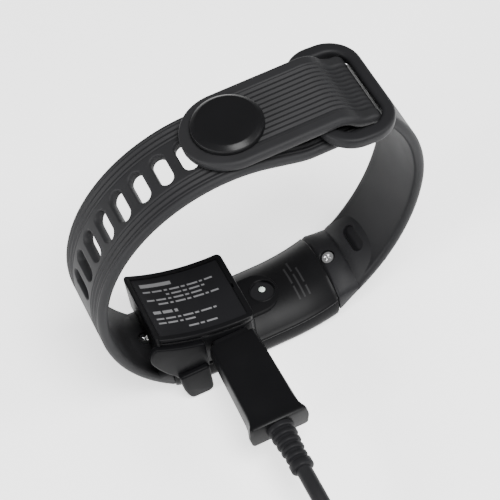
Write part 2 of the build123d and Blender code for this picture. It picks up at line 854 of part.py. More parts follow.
label_pocket = cradle_slab(label_recess, -2.0, side_y - label_margin)
label_sheet = cradle_slab(label_recess, label_recess - label_thickness, side_y - label_margin)
with BuildPart() as label_limits:
    with Locations(((cradle_left + cradle_right) / 2, 0, 15)):
        Box(cradle_right - cradle_left - 2 * label_margin, cradle_width, 30)
with BuildPart() as label_cut:
    add(label_pocket)
    add(label_limits.part, mode=Mode.INTERSECT)
with BuildPart() as cradle_label:
    add(label_sheet)
    add(label_limits.part, mode=Mode.INTERSECT)
finish(cradle_label, "cradle_label")

cover_slab = cradle_slab(cover_thickness, 0, side_y)
with BuildPart() as cradle_cover:
    add(cover_slab)
    add(label_cut.part, mode=Mode.SUBTRACT)
finish(cradle_cover, "cradle_cover")

with BuildPart() as cradle_board:
    with BuildSketch(Plane.XY.offset(board_low)):
        with Locations((-8.6, 0)):
            Rectangle(14.8, 15.2)
    extrude(amount=cradle_board_thickness)
finish(cradle_board, "cradle_board")

with BuildPart() as cradle_chips:
    for x, y, length, width, height in [(-12.5, 3.0, 4.0, 4.0, 0.7), (-12.5, -3.6, 2.6, 2.6, 0.8)]:
        with BuildSketch(Plane.XY.offset(board_low + cradle_board_thickness)):
            with Locations((x, y)):
                Rectangle(length, width)
        extrude(amount=height)
finish(cradle_chips, "cradle_chips")

with BuildPart() as socket_shell:
    with BuildSketch(socket_plane):
        Rectangle(socket_width, socket_height)
    extrude(amount=-socket_depth)
    with BuildSketch(socket_plane):
        Rectangle(socket_width - 2 * socket_wall, socket_height - 2 * socket_wall)
    extrude(amount=-(socket_depth - socket_wall), mode=Mode.SUBTRACT)
finish(socket_shell, "socket_shell")

tongue_size = (3.8, 0.5)
with BuildPart() as socket_tongue:
    with BuildSketch(socket_plane.offset(-(socket_depth - socket_wall))):
        Rectangle(*tongue_size)
    extrude(amount=socket_depth - socket_wall - 1.0)
finish(socket_tongue, "socket_tongue")

barrel_low = cradle_floor - 0.6
with BuildPart() as pogo_barrels:
    for x, y in pin_spots:
        with BuildSketch(Plane.XY.offset(barrel_low)):
            with Locations((x, y)):
                Circle(pin_barrel_diameter / 2)
        extrude(amount=board_low - barrel_low)
        with BuildSketch(Plane.XY.offset(barrel_low)):
            with Locations((x, y)):
                Circle(pin_diameter / 2 + pin_clearance)
        extrude(amount=2.5, mode=Mode.SUBTRACT)
finish(pogo_barrels, "pogo_barrels")

with BuildPart() as pogo_plungers:
    for x, y in pin_spots:
        with BuildSketch(Plane.XY.offset(platform_top + 0.03)):
            with Locations((x, y)):
                Circle(pin_diameter / 2)
        extrude(amount=barrel_low + 1.9 - platform_top)
finish(pogo_plungers, "pogo_plungers")

# spring arm at the cradle's front, with its finger tab down beside the module
arm_face = -(side_y + jaw_clearance)
with BuildPart() as clip_arm:
    with BuildSketch(Plane.XZ.offset(-arm_face)):
        with BuildLine():
            Polyline((arm_right, 8.0), (arm_right, 16.4), (-16.0, 17.4), (-20.4, 19.6), (-22.0, 20.6))
            ThreePointArc((-22.0, 20.6), (-23.5, 17.4), (-22.6, 13.6))
            ThreePointArc((-22.6, 13.6), (-21.4, 10.6), (tab_left, 8.0))
            Line((tab_left, 8.0), (arm_right, 8.0))
        make_face()
    extrude(amount=arm_thickness)
    with BuildSketch(Plane.XZ.offset(-arm_face)):
        with BuildLine():
            Polyline(
                (tab_left, 8.6), (tab_left + 0.8, 2.4), (tab_left + 1.7, 0.5), (arm_right - 1.2, 0.5),
                (arm_right, 1.8), (arm_right, 8.6), close=True,
            )
        make_face()
    extrude(amount=tab_thickness)
    chamfer(clip_arm.faces().sort_by(Axis.Y)[0].edges().sort_by(Axis.Z)[-1], 1.0)
finish(clip_arm, "clip_arm")

# ---------------------------------------------------------------- micro-B plug
plug_plane = Plane(origin=(plug_x, plug_face_y, plug_z), x_dir=(1, 0, 0), z_dir=(0, -1, 0))
with BuildPart() as micro_plug_overmould:
    with BuildSketch(plug_plane):
        RectangleRounded(*plug_back_size, 1.2)
    with BuildSketch(plug_plane.offset(plug_length)):
        RectangleRounded(*plug_front_size, 1.3)
    loft()
    with BuildSketch(plug_plane.offset(plug_length)):
        RectangleRounded(*plug_flange_size, 1.5)
    extrude(amount=plug_flange_length)
    with BuildSketch(plug_plane):
        RectangleRounded(*plug_neck_size, 0.8)
        Rectangle(*plug_shell_size, mode=Mode.SUBTRACT)
    extrude(amount=-plug_neck_length)
finish(micro_plug_overmould, "micro_plug_overmould")

inner_shell = (plug_shell_size[0] - 2 * plug_shell_wall, plug_shell_size[1] - 2 * plug_shell_wall)
shell_out = plug_shell_length - 1.0
with BuildPart() as micro_plug_shell:
    with BuildSketch(plug_plane):
        Rectangle(*plug_shell_size)
        Rectangle(*inner_shell, mode=Mode.SUBTRACT)
    extrude(amount=-plug_shell_length)
finish(micro_plug_shell, "micro_plug_shell")

with BuildPart() as micro_plug_contacts:
    with BuildSketch(plug_plane):
        with Locations((0, -inner_shell[1] / 2 + 0.13)):
            Rectangle(4.0, 0.26)
    extrude(amount=-shell_out)
finish(micro_plug_contacts, "micro_plug_contacts")


def strain_relief(plane, length, root, tip, collar, segments):
    """A tapered sleeve with grooves, and a collar at its end, standing on a plane."""
    pitch = (length - 2.0) / segments
    groove = 0.45
    outline = [(0, 0), (root, 0)]
    for index in range(segments):
        start = root + (tip - root) * index / segments
        high = (index + 1) * pitch
        outline += [(start, high - 0.7), (start - groove, high - 0.7), (start - groove, high)]
        outline += [(root + (tip - root) * (index + 1) / segments, high)]
    outline += [(collar, length - 2.0), (collar, length), (0, length)]
    cross = Plane(origin=plane.origin, x_dir=plane.x_dir, z_dir=plane.x_dir.cross(plane.z_dir))
    with BuildPart() as sleeve:
        with BuildSketch(cross):
            with BuildLine():
                Polyline(*outline, close=True)
            make_face()
        revolve(axis=Axis(plane.origin, plane.z_dir))
    return sleeve.part


relief_plane = plug_plane.offset(plug_length + plug_flange_length)
micro_relief = strain_relief(
    relief_plane, relief_length, relief_root_radius, relief_tip_radius, relief_collar_radius, relief_segments
)
with BuildPart() as micro_strain_relief:
    add(micro_relief)
finish(micro_strain_relief, "micro_strain_relief")

# ---------------------------------------------------------------- lead
coil_half = coil_turns * cord_diameter / 2
coil_outer_turn = coil_middle_radius + coil_half - cord_diameter / 2
coil_floor = tie_thickness
first_turn_z = coil_floor + cord_diameter / 2
cord_exit = (relief_plane.offset(relief_length).origin.Y, plug_z)
lead_points = [
    (plug_x, cord_exit[0] - cord_gap, plug_z),
    (plug_x, -56.2, plug_z),
    (-5.0, -70.5, 4.0),
    (coil_centre[0] + coil_outer_turn, coil_centre[1], first_turn_z),
]
coil_top = coil_floor + 2 * cord_diameter
usb_z = coil_top + coil_top_gap + usb_size[1] / 2
end_x = coil_centre[0] + coil_outer_turn
end_start_z = coil_top + coil_top_gap + cord_diameter / 2
end_points = [
    (end_x, coil_centre[1] + 5.6, end_start_z),
    (end_x, coil_centre[1] - 5.6, end_start_z + 0.7),
    (end_x - 8.0, usb_y, usb_z - 0.2),
    (usb_relief_x + cord_gap, usb_y, usb_z),
]


def lead_tube(points, name):
    """A round lead along straight runs joined by arcs as large as the runs allow."""
    spots = [Vector(*p) for p in points]
    radii = []
    for before, corner, after in zip(spots, spots[1:], spots[2:]):
        turn = (corner - before).get_angle(after - corner)
        shorter = min((corner - before).length, (after - corner).length)
        radii.append(0.45 * shorter / sin(radians(turn / 2)) * cos(radians(turn / 2)))
    with BuildPart() as tube:
        with BuildLine() as route:
            path = FilletPolyline(*spots, radius=radii)
        with BuildSketch(Plane(origin=path @ 0, z_dir=path % 0)):
            Circle(cord_diameter / 2)
        sweep(path=route.wires()[0])
    length = route.wires()[0].length
    section = 3.14159265 * cord_diameter**2 / 4
    print(f"{name}: radii {[round(r, 1) for r in radii]}, length {length:.1f},"
          f" volume ratio {tube.part.volume / (section * length):.4f}")
    return tube.part


with BuildPart() as coil_room:
    with Locations((coil_centre[0], coil_centre[1], coil_floor + cord_diameter)):
        Cylinder(coil_middle_radius + coil_half + cord_gap, 2 * cord_diameter + 2)

lead_part = lead_tube(lead_points, "cord_run")
with BuildPart() as cord_run:
    add(lead_part)
    add(coil_room.part, mode=Mode.SUBTRACT)
finish(cord_run, "cord_run")

end_part = lead_tube(end_points, "cord_end")
with BuildPart() as cord_end:
    add(end_part)
finish(cord_end, "cord_end")

coil_section_plane = Plane(
    origin=(coil_centre[0], coil_centre[1], 0), x_dir=(1, 0, 0), z_dir=(0, -1, 0)
)
coil_axis = Axis((coil_centre[0], coil_centre[1], 0), (0, 0, 1))
with BuildPart() as cord_coil:
    with BuildSketch(coil_section_plane):
        with Locations((coil_middle_radius, coil_floor + cord_diameter)):
            RectangleRounded(2 * coil_half, 2 * cord_diameter, 1.2)
    revolve(axis=coil_axis)
finish(cord_coil, "cord_coil")

tie_start = radians(tie_angle - tie_span_deg / 2)
tie_plane = Plane(
    origin=(coil_centre[0], coil_centre[1], 0),
    x_dir=(cos(tie_start), sin(tie_start), 0),
    z_dir=(sin(tie_start), -cos(tie_start), 0),
)
with BuildPart() as coil_tie:
    with BuildSketch(tie_plane):
        with Locations((coil_middle_radius, coil_floor + cord_diameter)):
            RectangleRounded(
                2 * (coil_half + tie_thickness), 2 * (cord_diameter + tie_thickness), 1.2 + tie_thickness
            )
            RectangleRounded(2 * coil_half, 2 * cord_diameter, 1.2, mode=Mode.SUBTRACT)
    revolve(axis=coil_axis, revolution_arc=tie_span_deg)
finish(coil_tie, "coil_tie")

# ---------------------------------------------------------------- USB-A plug
usb_relief_plane = Plane(
    origin=(usb_relief_x - usb_relief_length, usb_y, usb_z), x_dir=(0, 1, 0), z_dir=(1, 0, 0)
)
usb_relief = strain_relief(usb_relief_plane, usb_relief_length, 3.4, 2.3, 2.7, 4)
with BuildPart() as usb_strain_relief:
    add(usb_relief)
finish(usb_strain_relief, "usb_strain_relief")

usb_plane = Plane(
    origin=(usb_relief_x - usb_relief_length, usb_y, usb_z), x_dir=(0, -1, 0), z_dir=(-1, 0, 0)
)
with BuildPart() as usb_overmould:
    with BuildSketch(usb_plane):
        RectangleRounded(*usb_size, 2.2)
    extrude(amount=usb_length)
    chamfer(usb_overmould.faces().sort_by(Axis.X)[-1].edges(), 1.0)
finish(usb_overmould, "usb_overmould")

usb_front = usb_plane.offset(usb_length)
usb_inner = (usb_shell_size[0] - 2 * usb_shell_wall, usb_shell_size[1] - 2 * usb_shell_wall)
with BuildPart() as usb_shell:
    with BuildSketch(usb_front):
        RectangleRounded(*usb_shell_size, 0.6)
        RectangleRounded(*usb_inner, 0.3, mode=Mode.SUBTRACT)
    extrude(amount=usb_shell_length)
    for side in (1, -1):
        with BuildSketch(Plane.XY.offset(usb_z + usb_shell_size[1] / 2 - 1)):
            with Locations((usb_front.origin.X - 6.2, usb_y + side * 2.9)):
                Rectangle(2.2, 2.4)
        extrude(amount=2, mode=Mode.SUBTRACT)
finish(usb_shell, "usb_shell")

tongue_height = 1.9
with BuildPart() as usb_tongue:
    with BuildSketch(usb_front):
        with Locations((0, -usb_inner[1] / 2 + tongue_height / 2)):
            Rectangle(usb_inner[0] - 0.7, tongue_height)
    extrude(amount=usb_shell_length - 1.6)
finish(usb_tongue, "usb_tongue")

with BuildPart() as usb_contacts:
    for place in (-3.5, -1.0, 1.0, 3.5):
        with BuildSketch(Plane.XY.offset(usb_z - usb_inner[1] / 2 + tongue_height)):
            with Locations((usb_front.origin.X - 10.5, usb_y + place)):
                Rectangle(11.0, 1.0)
        extrude(amount=0.12)
finish(usb_contacts, "usb_contacts")
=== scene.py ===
"""Looks of the fitness tracker band on its charging cradle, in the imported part's frame.

Sizes are in millimetres, and MM turns them into metres.
X runs along the tracker module, -Y along the plug, +Z up; the display face lies on z = 0.
"""

import json
from math import acos, atan2, ceil, cos, degrees, hypot, pi, radians, sin, sqrt

import bmesh
import bpy
from mathutils import Matrix, Vector

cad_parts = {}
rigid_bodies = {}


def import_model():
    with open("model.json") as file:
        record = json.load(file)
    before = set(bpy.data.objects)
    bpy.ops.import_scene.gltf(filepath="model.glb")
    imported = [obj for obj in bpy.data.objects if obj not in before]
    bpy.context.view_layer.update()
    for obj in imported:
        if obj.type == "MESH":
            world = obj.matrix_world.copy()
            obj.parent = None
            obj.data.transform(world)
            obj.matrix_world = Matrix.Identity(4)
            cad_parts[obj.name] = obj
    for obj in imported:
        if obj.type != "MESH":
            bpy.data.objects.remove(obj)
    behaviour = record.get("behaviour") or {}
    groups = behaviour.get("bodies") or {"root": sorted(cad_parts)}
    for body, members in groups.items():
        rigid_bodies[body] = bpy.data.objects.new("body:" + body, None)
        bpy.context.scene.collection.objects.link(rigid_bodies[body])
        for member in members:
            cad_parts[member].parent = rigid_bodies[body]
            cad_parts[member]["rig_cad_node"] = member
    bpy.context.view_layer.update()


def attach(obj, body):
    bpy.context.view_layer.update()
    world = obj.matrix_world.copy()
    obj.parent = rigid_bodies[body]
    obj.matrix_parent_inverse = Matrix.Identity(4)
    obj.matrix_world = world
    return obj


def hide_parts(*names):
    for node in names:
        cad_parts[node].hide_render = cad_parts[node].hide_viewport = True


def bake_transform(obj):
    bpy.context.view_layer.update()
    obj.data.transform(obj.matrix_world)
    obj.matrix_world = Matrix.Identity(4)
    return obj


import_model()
MM = 0.001

# ---------------------------------------------------------------- camera
azimuth, elevation, roll = radians(-17.1), radians(53.5), radians(-9.9)
back = Vector((sin(azimuth) * cos(elevation), -cos(azimuth) * cos(elevation), sin(elevation)))
level = Vector((cos(azimuth), sin(azimuth), 0))
right = level * cos(roll) + back.cross(level) * sin(roll)
up = back.cross(right)
camera = bpy.data.objects.new("camera", bpy.data.cameras.new("camera"))
camera.data.lens = 123.96
camera.data.sensor_width = 36
camera.data.clip_start = 0.01
aim, distance = Vector((4.67, 0, 25.72)) * MM, 0.3644
place = aim + back * distance
camera.matrix_world = Matrix.Translation(place) @ Matrix((right, up, back)).transposed().to_4x4()
bpy.context.collection.objects.link(camera)
bpy.context.scene.camera = camera

# ---------------------------------------------------------------- lead
cord_diameter = 3.4
coil_x, coil_y = -28.2, -80.0
turn_low, turn_high = 2.2, 5.6
outer_turn, inner_turn = 23.8, 13.6
out_offset, out_bend = 10.2, 13.75      # the last bend, off the coil's top
points_per_turn = 18
shrink = 0.9849               # a quadratic spline runs this much inside its control points


def ease(value):
    """Smooth step from 0 to 1."""
    value = min(max(value, 0), 1)
    return value * value * (3 - 2 * value)


def coil_points():
    """Control points: in along the floor, up over the innermost turn, out on top, then up off the coil."""
    found = []
    for step in range(7 * points_per_turn + 1):
        turn = step / points_per_turn
        if turn <= 3:
            r, z = outer_turn - cord_diameter * turn, turn_low
        elif turn <= 4:
            u = turn - 3
            r = inner_turn - 1.3 * sin(pi * u) ** 0.7
            z = turn_low + (turn_high - turn_low) * ease(u)
        else:
            r, z = inner_turn + cord_diameter * (turn - 4), turn_high + 2.8 * ease((turn - 6.75) / 0.3)
        angle = -2 * pi * turn
        found.append((coil_x + r / shrink * cos(angle), coil_y + r / shrink * sin(angle), z))
    return found


usb_y, usb_z = -93.6, 11.4
lead = [
    (-6.1, -44.6, 12.2), (-6.1, -49.0, 12.2), (-6.1, -54.5, 12.0), (-5.75, -60.5, 9.6),
    (-5.2, -66.5, 5.6), (-4.6, -72.0, 3.0), (-4.1, -76.5, 2.25),
]
lead_out = []
for step in range(1, 7):
    angle = -radians(15 * step)
    high = turn_high + 2.8 + 3.0 * ease(0.1 + step / 6.2)
    lead_out.append((coil_x + out_offset + out_bend * cos(angle), coil_y + out_bend * sin(angle), high))
lead_out += [(coil_x + ahead, usb_y, usb_z) for ahead in (8.0, 5.5, 3.0)]
route = lead + coil_points() + lead_out
curve = bpy.data.curves.new("lead_line", "CURVE")
curve.dimensions = "3D"
spline = curve.splines.new("NURBS")
spline.points.add(len(route) - 1)
for point, spot in zip(spline.points, route):
    point.co = (*(Vector(spot) * MM), 1)
spline.order_u = 3
spline.use_endpoint_u = True
spline.resolution_u = 5
line_object = bpy.data.objects.new("lead_line", curve)
bpy.context.collection.objects.link(line_object)
bpy.context.view_layer.update()
line_mesh = bpy.data.meshes.new_from_object(line_object)
cord_path = [v.co.copy() for v in line_mesh.vertices]
bpy.data.objects.remove(line_object)


# ---------------------------------------------------------------- mesh helpers
def mesh_piece(name, verts, faces, smooth_deg=40.0):
    """A mesh object from points in millimetres."""
    mesh = bpy.data.meshes.new(name)
    mesh.from_pydata([Vector(v) * MM for v in verts], [], faces)
    obj = bpy.data.objects.new(name, mesh)
    bpy.context.collection.objects.link(obj)
    tidy(obj, smooth_deg)
    return obj


def tidy(obj, smooth_deg=40.0):
    """Merges doubled points, turns faces outwards and shades smooth up to an angle."""
    work = bmesh.new()
    work.from_mesh(obj.data)
    bmesh.ops.remove_doubles(work, verts=work.verts, dist=2e-6)
    bmesh.ops.dissolve_degenerate(work, edges=work.edges, dist=1e-7)
    bmesh.ops.recalc_face_normals(work, faces=work.faces)
    for face in work.faces:
        face.smooth = True
    for edge in work.edges:
        if len(edge.link_faces) == 2:
            edge.smooth = edge.calc_face_angle(0) < radians(smooth_deg)
    work.to_mesh(obj.data)
    work.free()


def loft(name, rings, loop=False, smooth_deg=40.0):
    """A skin over rings of points, closed lengthwise with loop or capped at both ends."""
    size = len(rings[0])
    verts = [p for ring in rings for p in ring]
    faces = []
    spans = len(rings) if loop else len(rings) - 1
    for i in range(spans):
        a, b = i * size, (i + 1) % len(rings) * size
        for j in range(size):
            k = (j + 1) % size
            faces.append((a + j, a + k, b + k, b + j))
    if not loop:
        faces += [tuple(range(size)), tuple(range(len(verts) - 1, len(verts) - size - 1, -1))]
    return mesh_piece(name, verts, faces, smooth_deg)


def modified(obj, kind, **settings):
    """Applies one modifier to a mesh."""
    modifier = obj.modifiers.new("work", kind)
    for key, value in settings.items():
        setattr(modifier, key, value)
    bpy.context.view_layer.update()
    made = bpy.data.meshes.new_from_object(obj.evaluated_get(bpy.context.evaluated_depsgraph_get()))
    obj.modifiers.clear()
    obj.data = made
    return obj


def cut(obj, *cutters, keep=False, smooth_deg=40.0):
    """Takes cutters out of a mesh and removes them."""
    for cutter in cutters:
        modified(obj, "BOOLEAN", operation="DIFFERENCE", object=cutter, solver="EXACT")
        if not keep:
            bpy.data.objects.remove(cutter)
    tidy(obj, smooth_deg)
    return obj


def rounded(width, height, radius, steps=6):
    """Outline of a rounded rectangle about its centre, anticlockwise."""
    found = []
    flat_x, flat_y = width / 2 - radius, height / 2 - radius
    for cx, cy, start in ((1, 1, 0), (-1, 1, 90), (-1, -1, 180), (1, -1, 270)):
        for i in range(steps + 1):
            a = radians(start + 90 * i / steps)
            found.append((cx * flat_x + radius * cos(a), cy * flat_y + radius * sin(a)))
    return found


def prism(name, outline, low, high, bevel=0.3, segments=3):
    """An outline in XZ pushed along Y from low to high, with rounded edges."""
    obj = loft(name, [[(x, y, z) for x, z in outline] for y in (low, high)], smooth_deg=25)
    settings = {"segments": segments, "limit_method": "ANGLE", "angle_limit": radians(28)}
    modified(obj, "BEVEL", width=bevel * MM, **settings)
    tidy(obj, 35)
    return obj


def stadium(x, y, length, width, along="y", steps=10):
    """Outline in XY of a slot about a point."""
    found = []
    run = (length - width) / 2
    for side in (1, -1):
        for i in range(steps + 1):
            a = radians(-90 + 180 * i / steps) if side > 0 else radians(90 + 180 * i / steps)
            u, v = side * run + width / 2 * cos(a), width / 2 * sin(a)
            found.append((x + u, y + v) if along == "x" else (x - v, y + u))
    return found


def circle3(a, b, c):
    """Centre and radius of the circle through three points."""
    d = 2 * (a[0] * (b[1] - c[1]) + b[0] * (c[1] - a[1]) + c[0] * (a[1] - b[1]))
    sa, sb, sc = (p[0] ** 2 + p[1] ** 2 for p in (a, b, c))
    x = (sa * (b[1] - c[1]) + sb * (c[1] - a[1]) + sc * (a[1] - b[1])) / d
    y = (sa * (c[0] - b[0]) + sb * (a[0] - c[0]) + sc * (b[0] - a[0])) / d
    return (x, y), hypot(a[0] - x, a[1] - y)


def tube(name, path, radius, sides=20):
    """A round tube along points given in metres."""
    rings = []
    side_way = None
    for i, spot in enumerate(path):
        ahead = (path[min(i + 1, len(path) - 1)] - path[max(i - 1, 0)]).normalized()
        if side_way is None:
            side_way = ahead.orthogonal()
        side_way = (side_way - ahead * side_way.dot(ahead)).normalized()
        other = ahead.cross(side_way)
        rings.append([
            (spot + (side_way * cos(2 * pi * k / sides) + other * sin(2 * pi * k / sides)) * radius) / MM
            for k in range(sides)
        ])
    return loft(name, rings)


def lathe(name, outline, origin, axis, sides=48, squeeze=1.0, smooth_deg=40.0):
    """Turns (radius, height) points round an axis that starts at origin; squeeze flattens it upwards."""
    way = Vector(axis).normalized()
    across = Vector((0, 0, 1)).cross(way)
    across = across.normalized() if across.length > 0.1 else Vector((1, 0, 0))
    over = way.cross(across)
    rings = []
    for k in range(sides):
        a = 2 * pi * k / sides
        rings.append([
            tuple(Vector(origin) + way * h + across * (r * cos(a)) + over * (r * sin(a) * squeeze))
            for r, h in outline
        ])
    return loft(name, rings, loop=True, smooth_deg=smooth_deg)


# ---------------------------------------------------------------- materials
def material(name, color, rough, metal=0.0, grain=0.03, grain_scale=9000.0, mottle=0.12,
             coat=0.0, sheen=0.0, specular=0.13, rough_spread=0.08):
    """A surface with slight mottling in colour and roughness, and a fine grain."""
    made = bpy.data.materials.new(name)
    made.use_nodes = True
    tree = made.node_tree
    shader = tree.nodes["Principled BSDF"]
    shader.inputs["Metallic"].default_value = metal
    shader.inputs["Coat Weight"].default_value = coat
    shader.inputs["Coat Roughness"].default_value = 0.12
    shader.inputs["Sheen Weight"].default_value = sheen
    shader.inputs["Specular IOR Level"].default_value = specular
    where = tree.nodes.new("ShaderNodeTexCoord")
    broad = tree.nodes.new("ShaderNodeTexNoise")
    broad.inputs["Scale"].default_value = 160.0
    broad.inputs["Detail"].default_value = 5.0
    tree.links.new(where.outputs["Object"], broad.inputs["Vector"])
    tint = tree.nodes.new("ShaderNodeMix")
    tint.data_type = "RGBA"
    tint.inputs["A"].default_value = (*[c * (1 - mottle) for c in color], 1)
    tint.inputs["B"].default_value = (*[min(c * (1 + mottle), 1) for c in color], 1)
    tree.links.new(broad.outputs["Fac"], tint.inputs["Factor"])
    tree.links.new(tint.outputs["Result"], shader.inputs["Base Color"])
    spread = tree.nodes.new("ShaderNodeMapRange")
    spread.inputs["To Min"].default_value = max(rough - rough_spread, 0.02)
    spread.inputs["To Max"].default_value = min(rough + rough_spread, 1)
    tree.links.new(broad.outputs["Fac"], spread.inputs["Value"])
    tree.links.new(spread.outputs["Result"], shader.inputs["Roughness"])
    fine = tree.nodes.new("ShaderNodeTexNoise")
    fine.inputs["Scale"].default_value = grain_scale
    fine.inputs["Detail"].default_value = 2.0
    tree.links.new(where.outputs["Object"], fine.inputs["Vector"])
    bump = tree.nodes.new("ShaderNodeBump")
    bump.inputs["Strength"].default_value = 0.4
    bump.inputs["Distance"].default_value = grain * MM
    tree.links.new(fine.outputs["Fac"], bump.inputs["Height"])
    tree.links.new(bump.outputs["Normal"], shader.inputs["Normal"])
    return made


surfaces = {                  # colour, roughness and the rest of each surface
    "display_glass": ((0.006, 0.006, 0.007), 0.08, {"grain": 0.0, "coat": 1.0, "rough_spread": 0.03}),
    "display_film": ((0.01, 0.011, 0.016), 0.25, {}),
    "adhesive": ((0.25, 0.25, 0.25), 0.7, {}),
    "case_plastic": ((0.006, 0.006, 0.0065), 0.42, {"grain": 0.012, "specular": 0.06}),
    "cover_plastic": ((0.006, 0.006, 0.0065), 0.38, {"grain": 0.01, "specular": 0.08}),
    "seal_rubber": ((0.03, 0.03, 0.03), 0.6, {}),
    "battery_foil": ((0.7, 0.7, 0.72), 0.35, {"metal": 0.9}),
    "foam": ((0.05, 0.05, 0.05), 0.9, {"grain": 0.1, "grain_scale": 2500}),
    "board_green": ((0.02, 0.12, 0.05), 0.4, {}),
    "chip_black": ((0.015, 0.015, 0.015), 0.55, {}),
    "window_clear": ((0.008, 0.008, 0.009), 0.1, {"coat": 1.0, "grain": 0.0}),
    "led_lens": ((0.75, 0.86, 0.78), 0.15, {"coat": 1.0, "grain": 0.0}),
    "photodiode": ((0.03, 0.02, 0.035), 0.2, {}),
    "contact_gold": ((0.83, 0.6, 0.26), 0.25, {"metal": 1.0}),
    "antenna_ceramic": ((0.75, 0.74, 0.7), 0.6, {}),
    "motor_steel": ((0.6, 0.6, 0.61), 0.3, {"metal": 1.0}),
    "rotor_tungsten": ((0.3, 0.3, 0.31), 0.5, {"metal": 1.0, "grain": 0.05}),
    "insert_brass": ((0.75, 0.55, 0.25), 0.35, {"metal": 1.0}),
    "screw_steel": ((0.9, 0.9, 0.91), 0.3, {"metal": 1.0}),
    "strap_rubber": ((0.016, 0.016, 0.017), 0.56, {"grain": 0.02}),
    "short_strap_rubber": ((0.011, 0.011, 0.012), 0.5, {"grain": 0.015}),
    "stud_black": ((0.006, 0.006, 0.0065), 0.3, {"grain": 0.006}),
    "stud_post": ((0.03, 0.03, 0.032), 0.5, {}),
    "cradle_plastic": ((0.005, 0.005, 0.0055), 0.36, {"grain": 0.01, "specular": 0.08}),
    "label_film": ((0.008, 0.008, 0.009), 0.45, {"grain": 0.006}),
    "clip_plastic": ((0.004, 0.004, 0.0045), 0.38, {"grain": 0.01, "specular": 0.05}),
    "socket_steel": ((0.62, 0.62, 0.64), 0.25, {"metal": 1.0}),
    "tongue_plastic": ((0.6, 0.6, 0.6), 0.5, {}),
    "plug_plastic": ((0.005, 0.005, 0.0055), 0.36, {"grain": 0.01, "specular": 0.09}),
    "relief_rubber": ((0.01, 0.01, 0.011), 0.48, {"grain": 0.01, "specular": 0.09}),
    "cord_rubber": ((0.014, 0.014, 0.015), 0.42, {"grain": 0.008, "specular": 0.07}),
    "tie_fabric": ((0.03, 0.03, 0.03), 0.85, {"grain": 0.15, "grain_scale": 3000, "sheen": 0.6}),
}
looks = {name: material(name, color, rough, **rest) for name, (color, rough, rest) in surfaces.items()}


def dress(obj, slot_name, body, *nodes):
    """Gives a piece its look and its body, and hides the CAD nodes that it stands for."""
    obj.data.materials.clear()
    obj.data.materials.append(looks[slot_name])
    if body:
        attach(obj, body)
    if nodes:
        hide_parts(*nodes)
    return obj


for node in [o for o in bpy.data.objects if "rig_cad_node" in o and o.type == "MESH"]:
    slot_name = node.data.materials[0].name.split(".")[0]
    node.data.materials.clear()
    node.data.materials.append(looks[slot_name])

# ---------------------------------------------------------------- the lead's tube and its ends
cord_piece = tube("lead_tube", cord_path, cord_diameter / 2 * MM)
dress(cord_piece, "cord_rubber", None, "cord_run", "cord_coil", "cord_end")
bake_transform(cord_piece)


def relief(name, origin, axis, length, root, tip, collar, segments, squeeze):
    """A tapered sleeve of rounded segments that ends in a collar."""
    outline = [(cord_diameter / 2 - 0.1, 0), (root, 0)]
    pitch = (length - 2.0) / segments
    for i in range(segments):
        r = root + (tip - root) * i / segments
        n = root + (tip - root) * (i + 1) / segments
        end = (i + 1) * pitch
        outline += [
            (r, i * pitch + 0.25), (r, end - 0.95), (r - 0.12, end - 0.75),
            (r - 0.5, end - 0.65), (r - 0.5, end - 0.1), (n - 0.12, end),
        ]
    outline += [
        (collar - 0.15, length - 2.0), (collar, length - 1.85), (collar, length - 0.4),
        (collar - 0.15, length - 0.12), (collar - 0.45, length), (cord_diameter / 2 - 0.1, length),
    ]
    return lathe(name, outline, origin, axis, squeeze=squeeze, smooth_deg=50)


plug_x, plug_z = -6.1, 12.2
micro_relief = relief("micro_relief", (plug_x, -34.4, plug_z), (0, -1, 0), 11.1, 3.0, 2.2, 2.5, 5, 0.9)
dress(micro_relief, "relief_rubber", "micro_plug", "micro_strain_relief")
usb_relief = relief("usb_relief", (-30.2, usb_y, usb_z), (1, 0, 0), 8.0, 3.3, 2.3, 2.6, 4, 0.95)
dress(usb_relief, "relief_rubber", "band", "usb_strain_relief")


# ---------------------------------------------------------------- micro-B plug and USB-A plug
def box_loft(name, spots, along, centre, steps=7):
    """Rounded-rectangle sections (position, width, height, corner) along -Y or -X."""
    rings = []
    for position, width, height, corner in spots:
        ring = []
        for u, v in rounded(width, height, corner, steps):
            spot = (centre[0] + u, centre[1] + v)
            ring.append((spot[0], position, spot[1]) if along == "y" else (position, *spot))
        rings.append(ring)
    return loft(name, rings, smooth_deg=50)


def flanked(top, mid, high):
    """Section of the plug's grip: flat top and bottom, sides that lean out to the middle."""
    quarter = [
        (mid, 0.0), (mid - 0.02, 0.35), (top + 0.42, high - 0.75), (top + 0.3, high - 0.4),
        (top + 0.08, high - 0.12), (top - 0.3, high),
    ]
    half = quarter + [(-u, v) for u, v in reversed(quarter)]
    return half + [(-u, -v) for u, v in half[1:-1]]


